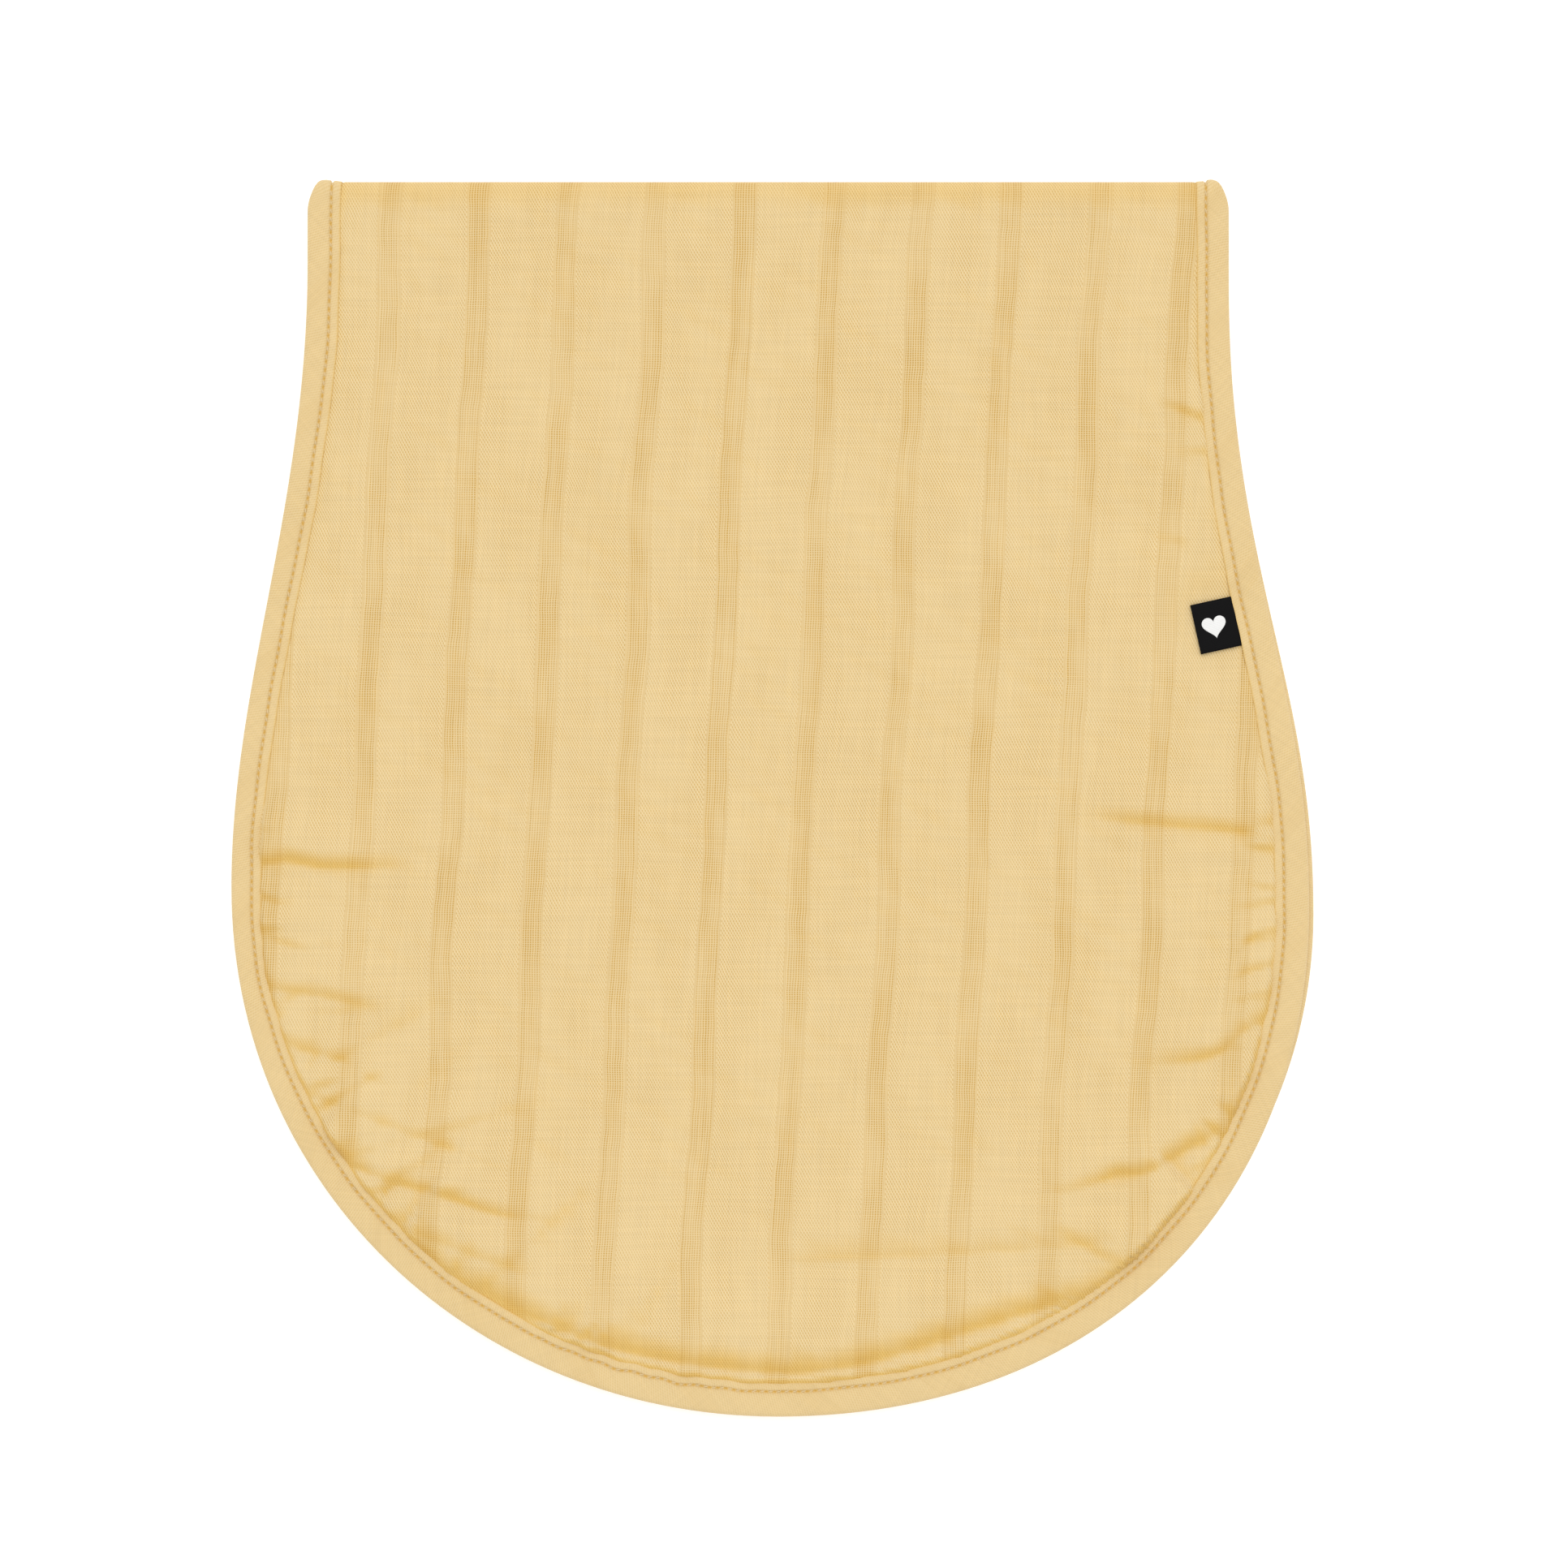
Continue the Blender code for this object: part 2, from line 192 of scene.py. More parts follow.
# Creases of the upper face: (height, width of the steep lower side, width of the gentle upper side, crest).
# Each crest is points (x, y) from left to right.
CREASES = (
    (0.0018, 0.0022, 0.006, ((-0.132, -0.014), (-0.121, -0.0115), (-0.1104, -0.013), (-0.0985, -0.013),
        (-0.086, -0.0125))),
    (0.0017, 0.0023, 0.006, ((-0.129, -0.042), (-0.1225, -0.043), (-0.1115, -0.0445), (-0.0998, -0.047),
        (-0.09, -0.049))),
    (0.0012, 0.0022, 0.005, ((-0.122, -0.055), (-0.117, -0.0575), (-0.1054, -0.061), (-0.0966, -0.066),
        (-0.084, -0.0715))),
    (0.0013, 0.0026, 0.006, ((-0.115, -0.068), (-0.11, -0.07), (-0.0872, -0.0785), (-0.0674, -0.0865),
        (-0.053, -0.0905))),
    (0.0021, 0.0025, 0.007, ((-0.112, -0.081), (-0.106, -0.0845), (-0.095, -0.0895), (-0.0792, -0.094),
        (-0.065, -0.0985), (-0.048, -0.101))),
    (0.0012, 0.0025, 0.005, ((-0.096, -0.0985), (-0.089, -0.102), (-0.0674, -0.11), (-0.054, -0.1145))),
    (0.0027, 0.0036, 0.012, ((-0.09, -0.103), (-0.083, -0.1075), (-0.0714, -0.1145), (-0.0516, -0.1245),
        (-0.0358, -0.1298), (-0.02, -0.133), (0.002, -0.1352), (0.018, -0.1335), (0.03, -0.1302),
        (0.0466, -0.1248), (0.0623, -0.12), (0.0728, -0.117), (0.0843, -0.1132), (0.096, -0.1055),
        (0.105, -0.0965))),
    (0.0007, 0.0014, 0.0014, ((-0.06, -0.13), (-0.05, -0.1345), (-0.032, -0.1398), (-0.002, -0.1436),
        (0.015, -0.1436), (0.031, -0.1405), (0.049, -0.1352), (0.068, -0.128), (0.078, -0.123))),
    (0.0023, 0.0026, 0.007, ((0.058, -0.0935), (0.0707, -0.0925), (0.0833, -0.0885), (0.0916, -0.0872),
        (0.102, -0.0808), (0.1124, -0.0745), (0.123, -0.065), (0.1265, -0.0615))),
    (0.0013, 0.004, 0.009, ((-0.006, -0.1075), (0.035, -0.1055), (0.065, -0.1035), (0.086, -0.101))),
    (0.0014, 0.0022, 0.0055, ((0.072, 0.0), (0.09, -0.002), (0.106, -0.0035), (0.1164, -0.004),
        (0.128, -0.002))),
    (0.0017, 0.0023, 0.006, ((0.086, -0.0615), (0.0964, -0.061), (0.1068, -0.0596), (0.1136, -0.054),
        (0.127, -0.048))),
    (0.0011, 0.0015, 0.003, ((0.106, -0.047), (0.111, -0.044), (0.1164, -0.0402), (0.129, -0.038))),
    (0.001, 0.0014, 0.003, ((0.109, -0.04), (0.1136, -0.0365), (0.1178, -0.0322), (0.129, -0.03))),
    (0.0008, 0.0013, 0.0022, ((-0.133, -0.0205), (-0.1218, -0.024), (-0.118, -0.025))),
    (0.0008, 0.0013, 0.0022, ((-0.132, -0.0312), (-0.1206, -0.0305), (-0.117, -0.03))),
    (0.0006, 0.0012, 0.0022, ((-0.131, -0.006), (-0.123, -0.0065), (-0.118, -0.0068))),
    (0.001, 0.0016, 0.0035, ((0.093, 0.0985), (0.0975, 0.099), (0.105, 0.096), (0.112, 0.092))),
    (0.0006, 0.0013, 0.0025, ((0.099, 0.087), (0.104, 0.087), (0.113, 0.086))),
    (0.0006, 0.0014, 0.0025, ((0.091, 0.066), (0.096, 0.066), (0.104, 0.064))),
    (0.0009, 0.0011, 0.0022, ((0.115, -0.01), (0.118, -0.0106), (0.1225, -0.0112), (0.129, -0.0114))),
    (0.0008, 0.0011, 0.0022, ((0.1165, -0.0195), (0.119, -0.0201), (0.123, -0.0212), (0.129, -0.022))),
    (0.0006, 0.0012, 0.002, ((0.101, -0.0915), (0.1069, -0.088), (0.114, -0.083), (0.118, -0.08))),
    (0.0006, 0.001, 0.0018, ((0.11, -0.076), (0.113, -0.073), (0.118, -0.068), (0.1215, -0.0645))),
    (0.0005, 0.001, 0.0018, ((0.102, -0.0855), (0.1053, -0.084), (0.11, -0.082), (0.115, -0.079),
        (0.1185, -0.0765))),
)

# The shortest and the longest length over which a crease's end fades out.
CREASE_FADE = (0.0030, 0.0220)

# Creases higher than SOFT_CREASE are this much wider than their rows say.
CREASE_SOFTNESS = 1.25
SOFT_CREASE = 0.0010

# Seeded puckers along the seam: (count, seed, first and last share of the way round, size), and for each of
# the hidden faces (count, first and last share).
FACE_PUCKERS = ((44, 11, 0.22, 0.80, 1.0), (26, 12, 0.24, 0.66, 2.3))
HIDDEN_PUCKERS = (60, 0.10, 0.90)

# The soft rise of the upper face: by the seam, further in, in long waves and in fine ones. The core follows a
# share of it. The hidden faces rise less, up to a limit.
SEAM_RISE = 0.0005
INNER_RISE = 0.0002
LONG_WAVE = 0.00048
FINE_WAVE = 0.00008
CORE_SHARE = 0.45
HIDDEN_RISE = 0.00030
HIDDEN_LIMIT = 0.00085

# How much painted shade a steep slope, a low place, the seam and the fold each give.
SHADE_SLOPE = 1.5
SHADE_LOW = 0.5
SHADE_SEAM = 0.3
SHADE_FOLD = 0.40

# Colours, linear.
THREAD_COLOUR = (0.662, 0.513, 0.276)
# Painted shade: the darker gold of the shaded ply seen through the weave's holes, of the stitch pits and of
# the grooves between a thread's strands.
HOLE_SHADE_COLOUR = (0.488, 0.291, 0.066)
# A tint that multiplies in painted shade on creases, low places, the seam and the fold.
PAINTED_SHADE_TINT = (0.990, 0.860, 0.500)
STITCH_COLOUR = (0.680, 0.530, 0.290)
LABEL_BLACK = (0.0055, 0.0053, 0.0055)
LABEL_WHITE = (0.720, 0.715, 0.700)
SATIN_WHITE = (0.640, 0.630, 0.600)
PAPER_WHITE = (0.90, 0.90, 0.90)
FLOOR_GLOW = 0.22

# The camera's aim, and how wide a frame it takes at the cloth.
AIM = (0.0026, 0.0034)
FRAME_WIDTH = 0.3864

# Lights: (name, turn about each axis in degrees, strength, spread in degrees).
SUNS = (
    ("key", (-26.0, 8.0, 0.0), 0.98, 45.0),
    ("fill", (20.0, -25.0, 0.0), 0.20, 60.0),
)


def smooth_step(value):
    """0 up to 0, 1 from 1, with a soft start and end between."""
    share = np.clip(value, 0.0, 1.0)
    return share * share * (3.0 - 2.0 * share)


def way_down(y):
    """The flat coordinate v of a place y in the row frame."""
    return BEND_LENGTH + FOLD_Y - y


def fold_over(flat, side):
    """Folds points (x, v, n) of one half into the row frame."""
    x, v, n = flat.T
    corner = CORNER * np.clip(1.0 - v / CORNER_REACH, 0.0, 1.0) ** 2
    left = 1.0 - smooth_step((x - WAIST_LEFT) / CORNER_DEPTH)
    right = 1.0 - smooth_step((WAIST_RIGHT - x) / CORNER_DEPTH)
    x = x + corner * (left - right)
    turn = np.clip(v / BEND, 0.0, math.pi / 2)
    past = np.maximum(v - BEND_LENGTH, 0.0)
    if side == "lower":
        x = x + LOWER_SKEW * past * smooth_step((LOWER_BACK[0] - past) / LOWER_BACK[1])
        past = past * (1.0 - LOWER_SHORT / (FOLD_Y - END_Y))
    n = np.where(n < 0.0, n * (1.0 - SQUEEZE * smooth_step(1.0 - v / SQUEEZE_REACH)), n)
    reach = BEND + n
    up = 1.0 if side == "upper" else -1.0
    y = FOLD_Y + reach * np.cos(turn) - past
    z = MIDDLE_Z + up * reach * np.sin(turn)
    return np.stack((x, y, z), axis=1)


def ripple(x, v, lengths, seed):
    """A smooth uneven field from about -1 to 1, the sum of waves of these lengths in seeded directions."""
    random = np.random.default_rng(seed)
    total = np.zeros_like(x)
    for length in lengths:
        angle, phase = random.uniform(0.0, 2.0 * math.pi, 2)
        total = total + np.sin(2.0 * math.pi * (x * math.cos(angle) + v * math.sin(angle)) / length + phase)
    return total / len(lengths)


# ---- the edge line


def even_points(points, step):
    """The same open line with points an even step apart."""
    points = np.array(points)
    gaps = np.hypot(*np.diff(points, axis=0).T)
    points = points[np.concatenate(([True], gaps > 1e-7))]
    way = np.concatenate(([0.0], np.cumsum(np.hypot(*np.diff(points, axis=0).T))))
    places = np.linspace(0.0, way[-1], round(way[-1] / step) + 1)
    return np.stack([np.interp(places, way, points[:, k]) for k in (0, 1)], axis=1), places


def flat_edge(step):
    """The edge of a half laid flat, from the middle of the fold at the left round to the right.

    Returns its points (x, v), their inward directions and their way along the edge."""
    points = [(WAIST_LEFT, 0.0)]
    for (start, _, leave), (end, arrive, _) in zip(EDGE, EDGE[1:]):
        handles = (Vector((*p, 0.0)) for p in (start, leave, arrive, end))
        stretch = interpolate_bezier(*handles, EDGE_STEPS)
        points += [(p.x, way_down(p.y)) for p in stretch]
    points.append((WAIST_RIGHT, 0.0))
    line, way = even_points(points, step)
    along = np.gradient(line, axis=0)
    along /= np.linalg.norm(along, axis=1)[:, None]
    along[[0, -1]] = ((0.0, 1.0), (0.0, -1.0))
    return line, np.stack((along[:, 1], -along[:, 0]), axis=1), way


def binding_width(way, length):
    """Its finished width along the edge, with small gathers in the lip at the bottom, left of the middle."""
    shares, widths = zip(*WIDTHS)
    share = way / length
    gathers = np.exp(-(((share - 0.455) / 0.035) ** 2)) * ripple(way, 0 * way, (0.0080, 0.0125), 6)
    uneven = 0.00018 * ripple(way, 0 * way, (0.011, 0.019, 0.043), 5)
    return np.interp(share, shares, widths) + uneven + 0.00045 * gathers


class EdgeField:
    """How far a flat point is inside the edge, and how wide the binding is there."""

    def __init__(self):
        self.line, self.inward, way = flat_edge(EDGE_STEP)
        self.width = binding_width(way, way[-1])
        self.tree = KDTree(len(self.line))
        for i, (x, v) in enumerate(self.line):
            self.tree.insert((x, v, 0.0), i)
        self.tree.balance()

    def measure(self, x, v):
        """Depth inside the edge, and the binding's width and the inward direction there."""
        nearest = np.array([self.tree.find((a, b, 0.0))[1] for a, b in zip(x, v)])
        away = np.stack((x, v), axis=1) - self.line[nearest]
        depth = np.sum(away * self.inward[nearest], axis=1)
        return depth, self.width[nearest], self.inward[nearest]

    def inside(self, x, v):
        """How far points are inside the binding's inner edge."""
        depth, width, _ = self.measure(x, v)
        return depth - width


# ---- the plies


def crest_line(points):
    """A smooth curve through given points, in flat coordinates."""
    flat = [Vector((x, way_down(y), 0.0)) for x, y in points]
    ends = [2 * flat[0] - flat[1], *flat, 2 * flat[-1] - flat[-2]]
    curve = []
    for before, start, end, after in zip(ends, ends[1:], ends[2:], ends[3:]):
        out, into = start + (end - before) / 6, end - (after - start) / 6
        curve += interpolate_bezier(start, out, into, end, 7)[:-1]
    return np.array([p.to_2d() for p in [*curve, flat[-1]]])


def ridge(x, v, height, steep, gentle, line, fades):
    """The height that one crease adds. Its steep side is on the side of larger v, and it fades out over these
    lengths at its two ends."""
    near = np.full(len(x), np.inf)
    signed = np.zeros(len(x))
    place = np.zeros(len(x))
    way = 0.0
    for (ax, av), (bx, bv) in zip(line, line[1:]):
        length = math.hypot(bx - ax, bv - av)
        ux, uv = (bx - ax) / length, (bv - av) / length
        along = np.clip((x - ax) * ux + (v - av) * uv, 0.0, length)
        dx, dv = x - ax - along * ux, v - av - along * uv
        distance = np.hypot(dx, dv)
        closer = distance < near
        near = np.where(closer, distance, near)
        signed = np.where(closer, np.sign(ux * dv - uv * dx), signed)
        place = np.where(closer, way + along, place)
        way += length
    fade = smooth_step(place / fades[0]) * smooth_step((way - place) / fades[1])
    drop = np.clip(1.0 - (near / (1.5 * steep)) ** 2.2, 0.0, 1.0) ** 1.2
    return height * fade * np.where(signed > 0.0, drop, np.exp(-((near / gentle) ** 2)))


def pucker_lines(field, count, seed, start_share, end_share, size):
    """Seeded short creases that run in from the seam: (height, steep, gentle, line, fades). A larger size
    makes them longer and softer."""
    random = np.random.default_rng(seed)
    found = []
    for share in np.sort(random.uniform(start_share, end_share, count)):
        i = int(share * (len(field.line) - 1))
        slant = random.uniform(-0.45, 0.45)
        inward = field.inward[i]
        heading = inward * math.cos(slant) + np.array((-inward[1], inward[0])) * math.sin(slant)
        start = field.line[i] + inward * (field.width[i] - 0.004)
        length = size * (0.010 + random.gamma(2.0, 0.0045))
        line = start + heading * np.linspace(0.0, length, 4)[:, None]
        if heading[0] < 0.0:
            line = line[::-1]
        width = size * random.uniform(0.0010, 0.0018)
        fades = (length / 2, 0.003) if heading[0] < 0.0 else (0.003, length / 2)
        found.append((random.uniform(0.25, 0.75) * 0.0010, width, width * 1.7, line, fades))
    return found


def end_fades(line, field):
    """How far a crease takes to fade out at each end: at once by the seam, slowly in the open cloth."""
    return np.clip(0.8 * field.inside(line[[0, -1], 0], line[[0, -1], 1]), *CREASE_FADE)


def ply_grid(field, steps):
    """A flat mesh of one ply, snapped to its sewn edge: its points' x and v, and its faces."""
    xs = graded_lines(field.line[:, 0].min(), field.line[:, 0].max(), *steps, FINE_MARGIN)
    vs = graded_lines(0.0, field.line[:, 1].max(), *steps, 0.0)
    x, v = (a.ravel() for a in np.meshgrid(xs, vs))
    depth = field.measure(x, v)[0]
    columns = len(xs)
    corner = (np.arange(len(vs) - 1)[:, None] * columns + np.arange(columns - 1)).ravel()
    quads = np.stack((corner, corner + columns, corner + columns + 1, corner + 1), axis=1)
    quads = quads[depth[quads].mean(axis=1) > PLY_INSET]
    used = np.unique(quads)
    renumber = np.full(len(x), -1)
    renumber[used] = np.arange(len(used))
    quads, x, v = renumber[quads], x[used], v[used]
    rim = sewn_rim(quads, v)
    for _ in range(2):
        depth, _, inward = field.measure(x[rim], v[rim])
        x[rim] += inward[:, 0] * (PLY_INSET - depth)
        v[rim] = np.maximum(v[rim] + inward[:, 1] * (PLY_INSET - depth), 0.0)
    relax_near(x, v, quads, rim)
    return x, v, quads


def graded_lines(low, high, fine, coarse, margin):
    """Grid lines from low to high: fine steps near both ends and coarse ones from the margin in. Without a
    margin all are fine."""
    lines = [low]
    while lines[-1] < high:
        near = min(lines[-1] - low, high - lines[-1])
        share = min(max(near / margin - 0.6, 0.0) / 0.4, 1.0) if margin else 0.0
        lines.append(lines[-1] + fine + (coarse - fine) * share)
    lines = np.array(lines)
    return low + (lines - low) * (high - low) / (lines[-1] - low)


def face_edges(quads):
    """The four edges of each face, as pairs of points."""
    return np.concatenate([quads[:, [k, (k + 1) % 4]] for k in range(4)])


def sewn_rim(quads, v):
    """The points on an edge of only one face, apart from those along the middle of the fold."""
    edges, times = np.unique(np.sort(face_edges(quads), axis=1), axis=0, return_counts=True)
    rim = np.unique(edges[times == 1])
    return rim[(v[rim] > 1e-9) | np.isin(rim, edges[(times == 1) & (v[edges] > 1e-9).any(axis=1)])]


def relax_near(x, v, quads, rim):
    """Evens out the faces beside the sewn rim, which snapping to the edge has squeezed."""
    edges = np.unique(np.sort(face_edges(quads), axis=1), axis=0)
    ends = np.concatenate((edges, edges[:, ::-1]))
    close = np.zeros(len(x), bool)
    close[rim] = True
    for _ in range(2):
        close[ends[close[ends[:, 1]], 0]] = True
    loose = close & (v > 1e-9)
    loose[rim] = False
    degree = np.bincount(ends[:, 0], minlength=len(x))
    for _ in range(6):
        for place in (x, v):
            mean = np.bincount(ends[:, 0], weights=place[ends[:, 1]], minlength=len(x)) / degree
            place[loose] = mean[loose]


def label_press(x, v, press):
    """1 away from a label, falling to 0 under it, where it holds the cloth down."""
    middle, half_size, softness = press
    away = np.hypot((x - middle[0]) / half_size[0], (v - way_down(middle[1])) / half_size[1])
    return smooth_step((away - 0.75) / softness)


def face_height(x, v, inside, field):
    """How far the upper face stands over its flat place: the cloth's fullness, its creases and puckers."""
    height = SEAM_RISE + INNER_RISE * smooth_step(inside / 0.014)
    long_wave = LONG_WAVE * ripple(x, v, (0.047, 0.061, 0.083, 0.035), 3)
    height = height + long_wave * smooth_step(inside / 0.02)
    for rise, steep, gentle, points in CREASES:
        line = crest_line(points)
        soft = CREASE_SOFTNESS if rise > SOFT_CREASE else 1.0
        height = height + ridge(x, v, rise, steep * soft, gentle * soft, line, end_fades(line, field))
    for row in FACE_PUCKERS:
        for pucker in pucker_lines(field, *row):
            height = height + ridge(x, v, *pucker)
    height = height + FINE_WAVE * ripple(x, v, (0.0051, 0.0067, 0.0083, 0.0043), 8)
    return np.maximum(height, -0.0003) * smooth_step((inside + 0.0010) / 0.0015)


def hidden_height(x, v, inside, field, seed):
    """The same for a face that lies against the floor or the other half, whose puckers are lower."""
    height = HIDDEN_RISE * (1.0 + ripple(x, v, (0.041, 0.057, 0.073), seed))
    count, start, end = HIDDEN_PUCKERS
    for rise, steep, gentle, line, fades in pucker_lines(field, count, seed, start, end, 1.0):
        height = height + 0.9 * ridge(x, v, rise, 1.4 * steep, 1.4 * gentle, line, fades)
    return np.clip(height, 0.0, HIDDEN_LIMIT) * smooth_step((inside + 0.0004) / 0.0030)


def meet_at_fold(v, rise, inside, ply):
    """The same rise, brought to the ply's own level at the middle of the fold."""
    away = smooth_step(v / FOLD_FADE)
    return rise * away + AT_FOLD[ply] * (1.0 - away) * smooth_step((inside + 0.0010) / 0.0015)


def thread_map(x, v, side, reach):
    """Where each point is in the woven cloth: across the warp and along it, in metres of thread. The way
    round the fold depends on the ply's reach from the middle of the bend."""
    down = v + (reach / BEND - 1.0) * np.minimum(v, BEND_LENGTH)
    down = down if side == "upper" else -down
    wander = 0.0007 * ripple(x, v, (0.060, 0.085, 0.048), 21)
    across = x - STRIPE_X + STRIPE_SLANT * down + wander
    along = down + 0.0004 * ripple(x, v, (0.05, 0.08), 22)
    return np.stack((across, along), axis=1)


def add_mesh(name, places, faces, threads, material, flip, more_faces=()):
    """A mesh object whose UV map, cloth, holds the thread map. flip turns its faces over."""
    mesh = bpy.data.meshes.new(name)
    listed = [*np.asarray(faces, object).tolist(), *more_faces]
    ordered = [list(f)[::-1] if flip else list(f) for f in listed]
    mesh.from_pydata(places.tolist(), [], ordered)
    corners = np.concatenate([np.array(f) for f in ordered])
    mesh.uv_layers.new(name="cloth").data.foreach_set("uv", threads[corners].astype(np.float32).ravel())
    mesh.materials.append(material)
    mesh.shade_smooth()
    thing = bpy.data.objects.new(name, mesh)
    bpy.context.scene.collection.objects.link(thing)
    return thing


def ring_quads(rings, around):
    """The faces between neighbouring rings of this many points."""
    first = (np.arange(rings - 1)[:, None] * around + np.arange(around)).ravel()
    following = (np.arange(rings - 1)[:, None] * around + (np.arange(around) + 1) % around).ravel()
    return np.stack((first, following, following + around, first + around), axis=1)


def add_attribute(thing, name, values):
    """A number for each point, which the material reads."""
    thing.data.attributes.new(name, "FLOAT", "POINT").data.foreach_set("value", values.astype(np.float32))


def make_ply(ply, side, grid, rise, painted_shade, material):
    """One ply of one half, with its thickness, replacing the CAD solids of the half and the fold."""
    x, v, quads = grid
    name = f"{side}_{ply}_cloth"
    flat = np.stack((x, v, PLY_HEIGHTS[ply] + rise), axis=1)
    threads = thread_map(x, v, side, BEND + PLY_HEIGHTS[ply] + AT_FOLD[ply])
    thing = add_mesh(name, fold_over(flat, side), quads, threads, material, side == "lower")
    # The painted shade, which the material reads.
    add_attribute(thing, "fold_shade", painted_shade)
    thickness = thing.modifiers.new("thickness", "SOLIDIFY")
    thickness.thickness = PLY * 0.8
    thickness.offset = 0.0
    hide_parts(f"{side}_{ply}_ply", f"fold_{ply}_ply")
    np.ptp(x)
    np.ptp(v)
    bend_with(thing, side)
    return thing


def bend_with(thing, side):
    """Bakes a piece's transform into its mesh, on either half."""
    if side == "lower":
        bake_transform(thing)
    else:
        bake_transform(thing)


def fold_shade(v, quads, height, inside):
    """Painted shade: how much darker and more golden each point is painted, from 0 to 1: on a crease's steep
    side, low beside what is round it, by the seam and at the fold."""
    edges = face_edges(quads)
    ends = np.concatenate((edges, edges[:, ::-1]))
    degree = np.bincount(ends[:, 0], minlength=len(v))
    gaps = v[ends[:, 1]] - v[ends[:, 0]]
    rises = height[ends[:, 1]] - height[ends[:, 0]]
    slope = np.bincount(ends[:, 0], weights=rises * gaps, minlength=len(v))
    slope = -slope / np.maximum(np.bincount(ends[:, 0], weights=gaps * gaps, minlength=len(v)), 1e-12)
    blurred = height.copy()
    for _ in range(10):
        blurred = np.bincount(ends[:, 0], weights=blurred[ends[:, 1]], minlength=len(v)) / degree
    low = np.clip((blurred - height) / 0.0005, 0.0, 1.0)
    at_seam = np.exp(-((inside / 0.0009) ** 2))
    at_fold = smooth_step((0.0085 - v) / 0.006)
    shade = SHADE_SLOPE * slope + SHADE_LOW * low + SHADE_SEAM * at_seam + SHADE_FOLD * at_fold
    return np.clip(shade, 0.0, 1.0)


# ---- the binding and its stitches


def binding_sides(width):
    """Places across one side of the binding, from its outer edge to its inner one, for each width: how far in
    they are, and their height."""
    across = np.ones((len(width), 1))
    stitch = (width - STITCH_FROM_LIP)[:, None]
    nose = np.linspace(0.0, math.pi / 2, 6)
    body = np.linspace(0.0, 1.0, 8)[1:]
    dip = np.linspace(-1.0, 1.0, 8)[1:]
    lip = np.linspace(0.0, math.pi / 2, 8)[1:]
    lip_start = stitch + VALLEY / 2
    valley = TOP - (TOP - LIP_TOP) * (dip + 1.0) / 2 - VALLEY_DEPTH * (0.5 + 0.5 * np.cos(math.pi * dip))
    inset = np.concatenate((
        across * NOSE * (1.0 - np.cos(nose)),
        NOSE + (stitch - VALLEY / 2 - NOSE) * body,
        stitch + VALLEY / 2 * dip,
        lip_start + (width[:, None] - lip_start) * np.sin(lip),
    ), axis=1)
    height = np.concatenate((
        across * TOP * np.sin(nose),
        across * (TOP + 0.00016 * np.sin(math.pi * body)),
        across * valley,
        across * (LIP_END + (LIP_TOP - LIP_END) * np.cos(lip) ** 0.6),
    ), axis=1)
    return inset, height


def seam_line():
    """The edge at even stations: its points, inward directions, way and binding width, and how many stitches
    go round it."""
    length = flat_edge(EDGE_STEP)[2][-1]
    stitches = round(length / STITCH_PITCH)
    line, inward, way = flat_edge(length / (STATIONS_PER_STITCH * stitches))
    return line, inward, way, binding_width(way, length), stitches


def binding_face(way, width, stitches, seed):
    """binding_sides() with the binding's unevenness: the pull and pit of each stitch, stronger at the bottom,
    soft waves, and one slanting join."""
    inset, height = binding_sides(width)
    along = np.broadcast_to(way[:, None], inset.shape)
    off_stitch = inset - (width - STITCH_FROM_LIP)[:, None]
    turn = 2.0 * math.pi * stitches * along / way[-1]
    share = along / way[-1]
    rope = 1.0 + 1.3 * smooth_step((0.20 - np.abs(share - 0.5)) / 0.08)
    pull = np.cos(turn - 4.0 * off_stitch / STITCH_PITCH)
    height = height + GATHER_RISE * rope * pull * np.exp(-((np.abs(off_stitch) - 0.0007) / 0.0006) ** 2)
    pit = np.exp(-((off_stitch / 0.0003) ** 2))
    height = height - PIT_DEPTH * pit * (0.5 + 0.5 * np.cos(turn))
    raised = smooth_step(inset / 0.002)
    height = height + TAPE_WAVE * raised * ripple(along, inset, (0.0043, 0.0061, 0.0096, 0.017), seed)
    join = along - JOIN_WAY - inset
    height = height + JOIN_RISE * raised * np.exp(-((join / JOIN_HALF) ** 2))
    return inset, height


